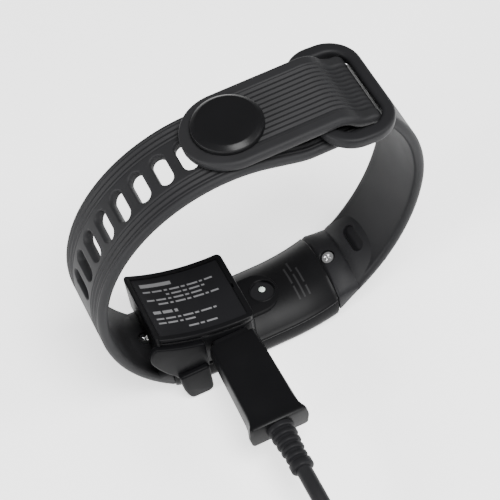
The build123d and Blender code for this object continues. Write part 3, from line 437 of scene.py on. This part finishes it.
grip_spots = [                # place along Y, half width at the top, half width at the middle, half height
    (-11.2, 4.3, 4.8, 2.6), (-11.3, 4.7, 5.3, 2.95), (-11.6, 4.85, 5.5, 3.1), (-18.0, 4.95, 5.8, 3.15),
    (-27.0, 5.1, 6.0, 3.15), (-30.4, 5.15, 6.1, 3.15), (-31.8, 5.3, 6.25, 3.15), (-32.8, 5.6, 6.5, 3.15),
    (-33.5, 5.95, 6.75, 3.15), (-34.0, 6.05, 6.8, 3.12), (-34.3, 5.95, 6.7, 2.95), (-34.4, 5.6, 6.3, 2.6),
]
grip_rings = []
for y, top, mid, high in grip_spots:
    grip_rings.append([(plug_x + u, y, plug_z + v) for u, v in flanked(top, mid, high)])
overmould = loft("micro_overmould", grip_rings, smooth_deg=40)
dress(overmould, "plug_plastic", "micro_plug", "micro_plug_overmould")
nose_spots = [(-9.75, 8.0, 4.0, 0.7), (-9.95, 8.4, 4.4, 0.8), (-11.3, 8.4, 4.4, 0.8)]
nose = box_loft("micro_nose", nose_spots, "y", (plug_x, plug_z))
cut(nose, box_loft("nose_room", [(-9.0, 6.9, 1.9, 0.4), (-12.0, 6.9, 1.9, 0.4)], "y", (plug_x, plug_z)))
dress(nose, "plug_plastic", "micro_plug")
usb_body = box_loft("usb_body", [
    (-30.2, 13.4, 6.2, 1.6), (-30.4, 14.6, 7.2, 2.0), (-31.1, 15.4, 7.8, 2.2), (-32.2, 15.6, 8.0, 2.2),
    (-54.8, 15.6, 8.0, 2.2), (-55.7, 15.4, 7.8, 2.1), (-56.2, 14.8, 7.2, 1.8),
], "x", (usb_y, usb_z))
dress(usb_body, "plug_plastic", "band", "usb_overmould")


# ---------------------------------------------------------------- straps
loop_z = 31.5                 # centre of the loop
loop_r = 31.25                # middle of the long strap round the loop
tail_r = loop_r + 2.5
thickness = 2.3
first_lean = -11.2            # first slot, in degrees from the top of the loop
slot_pitch = 9.85
slot_length, slot_width = 7.5, 3.2
rib_pitch = 1.22


def arc_run(centre, r, start, end, step=0.4):
    """Points and outward normals along an arc, from one angle to another, in degrees."""
    count = max(2, ceil(abs(radians(end - start)) * r / step))
    found = []
    for i in range(count + 1):
        a = radians(start + (end - start) * i / count)
        found.append((centre[0] + r * cos(a), centre[1] + r * sin(a), cos(a), sin(a)))
    return found


def line_run(a, b, normal, step=0.4):
    """Points and a fixed normal along a line."""
    count = max(1, ceil(hypot(b[0] - a[0], b[1] - a[1]) / step))
    dx, dz = (b[0] - a[0]) / count, (b[1] - a[1]) / count
    return [(a[0] + dx * i, a[1] + dz * i, *normal) for i in range(count + 1)]


def flipped(run):
    """The same points with their normals turned round."""
    return [(x, z, -nx, -nz) for x, z, nx, nz in run]


def swept(name, section, run):
    """A strap: its section carried along a run."""
    rings = [[(x + nx * h, y, z + nz * h) for y, h in section] for x, z, nx, nz in run]
    return loft(name, rings, smooth_deg=60)


def ribs(y, depth, inner, outer):
    """Height of the fine ribs at a distance from the middle."""
    reach = abs(y)
    if reach < inner or reach > outer:
        return 0.0
    fade = min(1.0, (reach - inner) / 0.3, (outer - reach) / 0.3)
    return -depth * fade * (0.5 + 0.5 * cos(2 * pi * (reach - inner) / rib_pitch)) ** 0.8


def band_section(half, top_ribs, edge=0.95, step=0.12):
    """Closed section (across, height): a ribbed top, a plain underside and rounded edges."""
    flat = half - edge
    count = ceil(2 * flat / step)
    face = [(-flat + 2 * flat * i / count) for i in range(count + 1)]
    t = thickness / 2
    section = [(y, t + top_ribs(y)) for y in face]
    section += [(flat + edge * sin(a), t * cos(a)) for a in (radians(18 * k) for k in range(1, 10))]
    section += [(y, -t) for y in reversed(face)]
    section += [(-flat - edge * sin(a), -t * cos(a)) for a in (radians(18 * k) for k in range(1, 10))]
    return section


def smooth_face(_):
    """No ribs."""
    return 0.0


leave_x = 9.0                 # the strap leaves the loop here, towards the ring
leave = degrees(acos(leave_x / loop_r))
drop = radians(90 - leave)
run_down, under_r = 6.2, 12
leave_spot = (leave_x, loop_z + sqrt(loop_r**2 - leave_x**2))
under_spot = (leave_spot[0] + run_down * cos(drop), leave_spot[1] - run_down * sin(drop))
under_centre = (under_spot[0] + under_r * sin(drop), under_spot[1] + under_r * cos(drop))
under_z = under_centre[1] - under_r
tail_z = loop_z + tail_r
fold_r, fold_x, rise_x = 1.3, 31.1, 23.6
fold_z = under_z + fold_r
rise_low = under_z + 2 * fold_r
rise_h = tail_z - rise_low
rise_l = fold_x - rise_x
rise_r = (rise_l**2 + rise_h**2) / (4 * rise_h)
rise_deg = 2 * degrees(atan2(rise_h, rise_l))
long_run = arc_run((5.7, loop_z), loop_r + 5.7, 226.5, 180)
long_run += arc_run((0, loop_z), loop_r, 180, leave)[1:]
long_run += line_run(leave_spot, under_spot, (sin(drop), cos(drop)))[1:]
long_run += flipped(arc_run(under_centre, under_r, 270 - degrees(drop), 270))[1:]
long_run += line_run((under_centre[0], under_z), (fold_x, under_z), (0, 1))[1:]
long_run += flipped(arc_run((fold_x, fold_z), fold_r, -90, 0))[1:]
strap = swept("long_strap_look", band_section(9.4, lambda y: ribs(y, 0.34, 4.75, 8.35)), long_run)
slots = []
middle = Vector((0, 0, loop_z))
for k in range(10):
    lean = radians(first_lean + slot_pitch * k)
    out = Vector((-sin(lean), 0, cos(lean)))
    along = Vector((cos(lean), 0, sin(lean)))
    levels = []
    for r, grow in ((28.5, 0.25), (30.1, 0.25), (30.4, 0.0), (32.1, 0.0), (32.4, 0.3), (34, 0.3)):
        ring = stadium(0, 0, slot_length + 2 * grow, slot_width + 2 * grow)
        levels.append([tuple(middle + out * r + along * u + Vector((0, v, 0))) for u, v in ring])
    slots.append(loft(f"slot_{k}", levels))
cut(strap, *slots, smooth_deg=50)
dress(strap, "strap_rubber", "band", "long_strap")

# tail, with its raised rim and the curl through the ring
post_x = 0.25 - loop_r * sin(radians(first_lean))
stud_x = post_x - 1.8
tail_half = 9.7
tail_edge = 0.95
tail_end = degrees(acos((stud_x - tail_half) / tail_r)) - 0.05
tail_run = arc_run((fold_x, fold_z), fold_r, 0, 90)
tail_run += flipped(arc_run((fold_x, rise_low + rise_r), rise_r, 270, 270 - rise_deg))[1:]
tail_run += arc_run((rise_x, tail_z - rise_r), rise_r, 90 - rise_deg, 90)[1:]
tail_run += line_run((rise_x, tail_z), (0, tail_z), (0, 1), 0.3)[1:]
tail_run += arc_run((0, loop_z), tail_r, 90, tail_end, 0.3)[1:]
tail_rings = []
face_count = 170
for x, z, nx, nz in tail_run:
    if x >= stud_x:
        half = tail_half - 0.3 * min(max((x - 26) / 4, 0), 1)
    else:
        half = sqrt(max(tail_half**2 - (stud_x - x) ** 2, 0.05))
    edge = min(tail_edge, half * 0.5)
    flat = half - edge
    top, low = [], []
    for i in range(face_count + 1):
        y = (-1 + 2 * i / face_count) * (tail_half - tail_edge)
        y = max(-flat, min(flat, y))
        inside = tail_half - hypot(y, min(x - stud_x, 0)) if x < stud_x else half - abs(y)
        rim = min(max((2.9 - inside) / 0.35, 0), 1)
        fade = min(max((27.6 - x) / 2.0, 0), 1)
        groove = 0.36 * (0.5 + 0.5 * cos(2 * pi * y / rib_pitch)) ** 0.8
        top.append((y, thickness / 2 - (1 - rim) * (0.12 + groove * (0.35 + 0.65 * fade))))
        low.append((y, -thickness / 2))
    side = [(flat + edge * sin(a), thickness / 2 * cos(a)) for a in (radians(18 * k) for k in range(1, 10))]
    section = top + side + low[::-1] + [(-y, -h) for y, h in side]
    tail_rings.append([(x + nx * h, y, z + nz * h) for y, h in section])
tail = loft("tail_look", tail_rings, smooth_deg=60)
dress(tail, "strap_rubber", None, "strap_tail")
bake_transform(tail)

# short strap
ring_x, ring_z, tilt = 28.4, 61.9, radians(4)
low_c, low_r, high_c = (-3.8, 43.0), 45.35, (12.1, 40.3)
high_r = low_r - hypot(high_c[0] - low_c[0], high_c[1] - low_c[1])
foot_reach = 23.75            # the strap's foot, right of its low arc's centre
root_z = 58.5                 # the strap turns into the ring here
meet = degrees(atan2(high_c[1] - low_c[1], high_c[0] - low_c[0]))
ring_root = (high_c[0] + sqrt(high_r**2 - (root_z - high_c[1]) ** 2), root_z)
bar = (ring_x + 6.7 * cos(tilt), ring_z - 6.7 * sin(tilt))
start_deg = degrees(atan2(-sqrt(low_r**2 - foot_reach**2), foot_reach))
end_deg = degrees(atan2(root_z - high_c[1], ring_root[0] - high_c[0]))
short_run = arc_run(low_c, low_r, start_deg, meet)
short_run += arc_run(high_c, high_r, meet, end_deg)[1:]
short_run += line_run(ring_root, bar, (0.999, -0.04))[1:]
short = swept("short_strap_look", band_section(8.7, smooth_face, edge=1.05, step=0.5), short_run)
dress(short, "short_strap_rubber", "band", "short_strap")

# ring: a closed bar with a rounded section
outer = rounded(16.0, 27.5, 7.0, 16)
inner = rounded(10.8, 21.2, 4.0, 16)


def dense(outline, count=14):
    """Adds points along the straight sides of a rounded outline."""
    found = []
    quarter = len(outline) // 4
    for side in range(4):
        corner = outline[side * quarter:(side + 1) * quarter]
        following = outline[(side + 1) * quarter % len(outline)]
        found += corner
        dx, dy = following[0] - corner[-1][0], following[1] - corner[-1][1]
        found += [(corner[-1][0] + dx * i / count, corner[-1][1] + dy * i / count) for i in range(1, count)]
    return found


ring_rings = []
for (ox, oy), (ix, iy) in zip(dense(outer), dense(inner)):
    middle = ((ox + ix) / 2, (oy + iy) / 2)
    half = hypot(ox - ix, oy - iy) / 2
    way = ((ox - ix) / 2 / half, (oy - iy) / 2 / half)
    ring = []
    for u, w in rounded(2 * half, 2.6, 0.85, 5):
        x, y = middle[0] + way[0] * u, middle[1] + way[1] * u
        ring.append((ring_x + x * cos(tilt) + w * sin(tilt), y, ring_z - x * sin(tilt) + w * cos(tilt)))
    ring_rings.append(ring)
loop_ring = loft("ring_look", ring_rings, loop=True, smooth_deg=60)
dress(loop_ring, "short_strap_rubber", "band")


# strap roots beside the module
lug_x, lug_z, lug_tilt = 23.1, 8.1, radians(20)
start_x = 19.95


def root(name, side, strap_half, spots, slot_name):
    """Crowned block over a strap's end, from (x, bottom, top at the middle, top at the rim)."""
    rings = []
    for x, low, top, rim in spots:
        half = strap_half + (9.42 - strap_half) * max(0, 1 - (x - start_x) / 7)
        section = [(-half, low), (half, low), (half, rim - 0.6)]
        for i in range(17):
            u = 1 - 2 * i / 16
            section.append((half * 0.965 * u, rim + (top - rim) * (1 - abs(u) ** 2.2)))
        section.append((-half, rim - 0.6))
        rings.append([(side * x, y, z) for y, z in section])
    obj = loft(name, rings, smooth_deg=50)
    modified(obj, "BEVEL", width=0.25 * MM, segments=2, limit_method="ANGLE", angle_limit=radians(40))
    up_way = (-side * sin(lug_tilt), 0, cos(lug_tilt))
    hole = [(0, 2.4), (1.7, 2.4), (1.7, 7), (0, 7)]
    cut(obj, lathe("recess", hole, (side * lug_x, 0, lug_z), up_way, sides=32))
    return dress(obj, slot_name, "band")


right_spots = [
    (start_x, 4.5, 11.2, 8.9), (20.6, 4.8, 11.6, 9.3), (22.9, 6.4, 11.8, 9.2), (24.8, 7.9, 11.9, 9.3),
    (25.2, 8.1, 11.55, 9.2), (25.6, 8.4, 12.2, 9.8), (27.0, 9.6, 13.5, 10.9), (30.0, 12.4, 15.4, 13.4),
    (32.2, 14.4, 16.1, 15.4),
]
right_root = root("short_root", 1, 8.7, right_spots, "short_strap_rubber")
slope = radians(29.6)


def pocket_piece(name, low, high, length, width):
    """A slot-shaped block between two depths, square to the strap at its pocket."""
    away = Vector((-sin(slope), 0, cos(slope)))
    along = Vector((cos(slope), 0, sin(slope)))
    outline = stadium(0, 0, length, width)
    levels = []
    for deep in (low, high):
        centre = Vector((28.3, 0, 14.35)) + away * deep
        levels.append([tuple(centre + along * u + Vector((0, v, 0))) for u, v in outline])
    return loft(name, levels)


cut(right_root, pocket_piece("pocket", -1.9, 3.0, 7.2, 2.8))
# the pocket's floor takes the darker stud_black look: painted shade at the bottom of the recess
dress(pocket_piece("pocket_floor", -1.9, -1.7, 7.1, 2.7), "stud_black", "band")
dress(pocket_piece("pocket_strip", -1.7, -1.45, 3.4, 0.8), "strap_rubber", "band")
left_spots = [
    (start_x, 5.0, 11.2, 8.9), (20.6, 5.6, 11.6, 9.3), (22.9, 7.8, 11.7, 9.4), (24.4, 9.6, 12.6, 11.4),
    (26.0, 12.1, 14.6, 13.8), (27.2, 14.3, 16.2, 15.6),
]
root("long_root", -1, 9.4, left_spots, "strap_rubber")

# threaded inserts, inside the roots
insert_outline = [(0.75, 0.1), (1.2, 0.1), (1.2, 0.9), (0.75, 0.9)]
for index, side in enumerate((-1, 1)):
    up_way = (-side * sin(lug_tilt), 0, cos(lug_tilt))
    insert = lathe(f"insert_look_{index}", insert_outline, (side * lug_x, 0, lug_z), up_way, sides=32)
    dress(insert, "insert_brass", "band", *(["lug_inserts"] if index == 0 else []))

# stud
cap_outline = [
    (0, 66.4), (7.05, 66.4), (7.3, 66.55), (7.3, 67.35), (7.2, 67.62), (6.3, 68.28), (6.05, 68.36),
    (5.0, 68.4), (0, 68.4),
]
cap = lathe("stud_look", cap_outline, (stud_x, 0, 0), (0, 0, 1), sides=96, smooth_deg=25)
dress(cap, "stud_black", "tail", "stud_cap")

# ---------------------------------------------------------------- module
bend_r, flat_half = 37.0, 8.0
side_y = 9.5                  # half the module's width


def bent(x, y, h):
    """A point of the module: h above the display face, along its curve."""
    reach = max(abs(x) - flat_half, 0)
    return (x, y, bend_r - sqrt((bend_r - h) ** 2 - reach**2))


def bent_loft(name, section, ends=19.8, round_end=0.25):
    """A section carried along the module's curve, with softened ends."""
    rings = []
    count = 44
    softer = 1 - round_end / side_y
    mid_h = sum(h for _, h in section) / len(section)
    for i in range(count + 1):
        x = -ends + 2 * ends * i / count
        rings.append([bent(x, y, h) for y, h in section])
    for end, x0 in ((0, -1), (-1, 1)):
        soft = []
        for y, h in section:
            soft.append(bent(x0 * ends, y * softer, h + (mid_h - h) * 0.06))
        kept = [(p[0] - x0 * round_end, p[1], p[2]) for p in rings[end]]
        rings[end] = kept
        rings = [soft] + rings if end == 0 else rings + [soft]
    return loft(name, rings, smooth_deg=50)


case_section = [
    (side_y, 5.5), (9.42, 5.58), (-9.42, 5.58), (-side_y, 5.5), (-side_y, 2.4), (-9.4, 1.95), (-8.9, 0.75),
    (-8.6, 0.5), (-8.3, 0.45), (8.3, 0.45), (8.6, 0.5), (8.9, 0.75), (9.4, 1.95), (side_y, 2.4),
]
case_piece = bent_loft("case_look", case_section)
dress(case_piece, "case_plastic", "band")
(cx, cy), cr = circle3((9.1, 6.3), (0, 9.6), (-9.1, 6.3))


def crown_height(y):
    """Height of the back over the display face."""
    return cy + sqrt(cr * cr - (y - cx) ** 2)


crown = [(y, crown_height(y)) for y in (9.1 - 18.2 * i / 40 for i in range(41))]
back_section = [(9.42, 5.62), (9.5, 5.7), (9.5, 5.95), (9.4, 6.12), (9.25, 6.23)] + crown
back_section += [(-9.25, 6.23), (-9.4, 6.12), (-9.5, 5.95), (-9.5, 5.7), (-9.42, 5.62)]
back_piece = bent_loft("back_look", back_section)
well = lathe("well", [(0, 8.9), (2.7, 8.9), (2.7, 11), (0, 11)], (5.8, 0, 0), (0, 0, 1), sides=48)
cut(back_piece, well, keep=True, smooth_deg=50)
dress(back_piece, "cover_plastic", "band", "back_cover")

# plain printed bars on the back
mark_verts, mark_faces = [], []
mark_rows = {
    12.4: ((-5.6, -2.2), (-1.6, 3.0)),
    13.6: ((-5.6, 0.4), (1.2, 4.2)),
    14.8: ((-5.6, -3.4), (-2.6, 1.6)),
}
for row, spans in mark_rows.items():
    for start, end in spans:
        n = len(mark_verts)
        count = 8
        for i in range(count + 1):
            y = start + (end - start) * i / count
            mark_verts += [bent(x, y, crown_height(y) + 0.02) for x in (row - 0.2, row + 0.2)]
        mark_faces += [(n + 2 * i, n + 2 * i + 1, n + 2 * i + 3, n + 2 * i + 2) for i in range(count)]
looks["back_print"] = material("back_print", (0.02, 0.02, 0.021), 0.5)
marks = mesh_piece("back_marks", mark_verts, mark_faces)
marks.data.materials.append(looks["back_print"])
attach(marks, "band")

# sensor platform, its window's well and the lamp in it
platform_levels = []
for height, shrink_by in ((8.3, 0.0), (9.55, 0.0), (9.72, 0.08), (9.8, 0.3)):
    size = (19.8 - 2 * shrink_by, 10.0 - 2 * shrink_by)
    outline = stadium(-0.6, 0, *size, along="x", steps=24)
    platform_levels.append([(x, y, height) for x, y in outline])
platform = loft("platform_look", platform_levels, smooth_deg=35)
cut(platform, well, smooth_deg=35)
dress(platform, "cover_plastic", "band")
rim_outline = [(2.72, 9.2), (3.0, 9.2), (3.0, 9.86), (2.9, 9.92), (2.8, 9.92), (2.72, 9.86)]
well_rim = lathe("well_rim", rim_outline, (5.8, 0, 0), (0, 0, 1), sides=64)
dress(well_rim, "cover_plastic", "band")
eye_outline = [(0, 9.2), (0.7, 9.2), (0.7, 9.36), (0.55, 9.44), (0, 9.47)]
eye = lathe("sensor_eye", eye_outline, (6.0, 0.6, 0), (0, 0, 1), sides=32)
dress(eye, "led_lens", "band", "sensor_led")
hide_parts("front_case")

# ---------------------------------------------------------------- cradle
deck_left, deck_right, cradle_side = -21.8, 0.5, 9.5
cover_thick = 1.4
(tcx, tcz), tcr = circle3((deck_left, 22.8), (-12.6, 18.4), (deck_right, 16.4))


def deck(x, down=0.0):
    """Height of the cradle's concave top at x."""
    return tcz - sqrt(tcr**2 - (x - tcx) ** 2) - down


def deck_outline(left, right_x, high, low, count=24):
    """Outline in XZ between two depths under the deck."""
    xs = [left + (right_x - left) * i / count for i in range(count + 1)]
    return [(x, deck(x, high)) for x in xs] + [(x, deck(x, low)) for x in reversed(xs)]


def raised(name, outline, low, high):
    """A skin over an outline in XY, from one height to another."""
    return loft(name, [[(x, y, z) for x, y in outline] for z in (low, high)])


def corner_trim(corner_x, way_x, way_y, radius=1.7, spare=0.6):
    """Outline in XY of what a rounded corner of the cradle loses."""
    y_mid = cradle_side - radius
    found = [(corner_x + spare * way_x, (cradle_side + spare) * way_y)]
    found += [(corner_x - radius * way_x, (cradle_side + spare) * way_y)]
    for k in range(11):
        a = radians(9 * k)
        found.append((corner_x - way_x * (radius - radius * sin(a)), way_y * (y_mid + radius * cos(a))))
    return found + [(corner_x + spare * way_x, y_mid * way_y)]


def trim_corners(obj):
    """Rounds the upright corners of the cradle's body or cover."""
    for corner_x, way_x in ((deck_left, -1), (deck_right, 1)):
        for way_y in (-1, 1):
            cut(obj, raised("corner_trim", corner_trim(corner_x, way_x, way_y), 4, 26), smooth_deg=35)


# body, hollowed over the module's back
seam = 0.12
width = deck_right - deck_left
body_outline = [(x, deck(x, cover_thick + seam)) for x in (deck_left + width * i / 24 for i in range(25))]
body_outline += [
    (deck_right, 6.7), (-8.0, 6.6), (-14.0, 7.1), (-19.4, 8.4), (-19.5, 12.6), (deck_left, 12.6),
]
base = prism("cradle_body", body_outline, -cradle_side, cradle_side, bevel=0.45)
room_half = 9.9
(rx, ry), rr = circle3((room_half, 6.3), (0, 10.1), (-room_half, 6.3))
room_section = [(room_half, -2)]
for i in range(31):
    y = room_half - 2 * room_half * i / 30
    room_section.append((y, ry + sqrt(rr**2 - (y - rx) ** 2)))
room_section += [(-room_half, -2)]
room = loft("room", [[bent(x, y, h) for y, h in room_section] for x in range(-22, 5)])
stadium_room = raised("stadium_room", stadium(-0.6, 0, 20.6, 10.6, along="x", steps=20), 0, 10.1)
socket_outline = rounded(7.6, 2.9, 0.4)
socket_cut = loft("socket_cut", [
    [(plug_x + u, y, plug_z + v) for u, v in socket_outline] for y in (-12, -4)
])
cut(base, room, stadium_room, socket_cut, smooth_deg=35)
trim_corners(base)
dress(base, "cradle_plastic", "charger", "cradle_base")
jaw_outline = [(-19.0, 13.2), (-19.0, 4.6), (-17.6, 3.0), (-5.4, 3.0), (-4.0, 4.4), (-4.0, 13.2)]
jaw = prism("cradle_jaw", jaw_outline, 9.65, 10.9, bevel=0.4)
dress(jaw, "cradle_plastic", "charger")


# cover, with the label's recess and a notch in its right lip
def between(name, outline, half, smooth_deg=40.0):
    """A skin over an outline in XZ, across both sides of the middle."""
    return loft(name, [[(x, y, z) for x, z in outline] for y in (-half, half)], smooth_deg=smooth_deg)


cover_outline = deck_outline(deck_left, deck_right, 0, cover_thick)
cover = prism("cover_look", cover_outline, -cradle_side, cradle_side, bevel=0.42, segments=4)
cut(cover, between("recess", deck_outline(-20.5, -0.8, -2, 0.38), 8.2), smooth_deg=35)
cut(cover, between("notch", ((-1.2, 15), (-0.45, 15), (-0.45, 18), (-1.2, 18)), 0.6), smooth_deg=35)
trim_corners(cover)
dress(cover, "cradle_plastic", "charger", "cradle_cover")
label = between("label_look", deck_outline(-20.4, -0.9, 0.24, 0.5), 8.1, smooth_deg=30)
dress(label, "label_film", "charger", "cradle_label")

# plain printed bars on the label
print_verts, print_faces = [], []
dashes = (
    (-19.2, -17.6), (-17.2, -15.1), (-14.6, -13.9), (-13.4, -11.2),
    (-10.8, -9.9), (-9.4, -7.0), (-6.6, -5.9), (-5.4, -3.6),
)
fine, bold = 0.22, 0.4
label_rows = [                # place along Y, half height, bars
    (6.1, 0.5, ((-19.2, -12.4),)), (4.3, fine, dashes), (3.1, fine, dashes[2:7]), (1.9, fine, dashes[:6]),
    (0.7, fine, dashes[1:]), (-1.6, bold, dashes[:3]), (-3.4, fine, dashes[:7]), (-4.6, fine, dashes[:4]),
    (-6.4, fine, dashes[3:6]),
]
for row, half, spans in label_rows:
    for start, end in spans:
        for i in range(4):
            n = len(print_verts)
            first = start + (end - start) * i / 4
            last = start + (end - start) * (i + 1) / 4
            corners = ((first, row - half), (last, row - half), (last, row + half), (first, row + half))
            print_verts += [(x, y, deck(x, 0.225)) for x, y in corners]
            print_faces.append((n, n + 1, n + 2, n + 3))
looks["label_print"] = material("label_print", (0.15, 0.15, 0.155), 0.5)
bars = mesh_piece("label_bars", print_verts, print_faces)
bars.data.materials.append(looks["label_print"])
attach(bars, "charger")

# clip arm
arm_right = -11.95
arm_outline = [(arm_right, 8.0)]
arm_outline += [(x, deck(x, 1.55)) for x in (arm_right, -13.8, -15.3, -16.8, -18.3, -19.8, -21.3, -22.4)]
arm_outline += [
    (-23.2, 21.1), (-23.8, 20.2), (-24.2, 18.7), (-24.1, 17.4), (-23.7, 16.2), (-22.9, 14.4), (-21.5, 11.8),
    (-19.9, 9.6), (-19.2, 8.0),
]
arm = prism("clip_look", arm_outline, -11.1, -9.65, bevel=0.4)
dress(arm, "clip_plastic", "clip", "clip_arm")
tab_outline = [
    (-19.3, 9.6), (-18.9, 4.6), (-18.4, 2.4), (-17.9, 1.2), (-17.2, 0.55), (-13.5, 0.5), (-12.6, 1.0),
    (-12.3, 1.9), (-12.3, 9.6),
]
tab = prism("clip_tab", tab_outline, -12.25, -9.65, bevel=0.7, segments=4)
dress(tab, "clip_plastic", "clip")

# ---------------------------------------------------------------- floor and light
bpy.ops.mesh.primitive_plane_add(size=4, location=(0, 0, -0.00002))
floor = bpy.context.object
floor.name = "floor"
paper = material("floor", (0.93, 0.93, 0.93), 0.9, grain=0, mottle=0.0, specular=0.1)
glow = paper.node_tree.nodes["Principled BSDF"]
glow.inputs["Emission Color"].default_value = (1, 1, 1, 1)
glow.inputs["Emission Strength"].default_value = 1.3
floor.data.materials.append(paper)
world = bpy.data.worlds.new("world")
world.use_nodes = True
world.node_tree.nodes["Background"].inputs["Color"].default_value = (1, 1, 1, 1)
world.node_tree.nodes["Background"].inputs["Strength"].default_value = 0.2
bpy.context.scene.world = world


def softbox(name, spot, size, power):
    """A square area light aimed at the band."""
    lamp = bpy.data.lights.new(name, "AREA")
    lamp.size = size
    lamp.energy = power
    obj = bpy.data.objects.new(name, lamp)
    obj.location = spot
    obj.rotation_euler = (Vector((0, 0, 0.03)) - Vector(spot)).to_track_quat("-Z", "Y").to_euler()
    bpy.context.collection.objects.link(obj)


softbox("top", (0.1, -0.35, 0.8), 0.4, 12.0)
softbox("front_left", (-0.7, -0.2, 0.35), 0.25, 6.0)
softbox("front_right", (0.6, -0.3, 0.4), 0.25, 3.5)
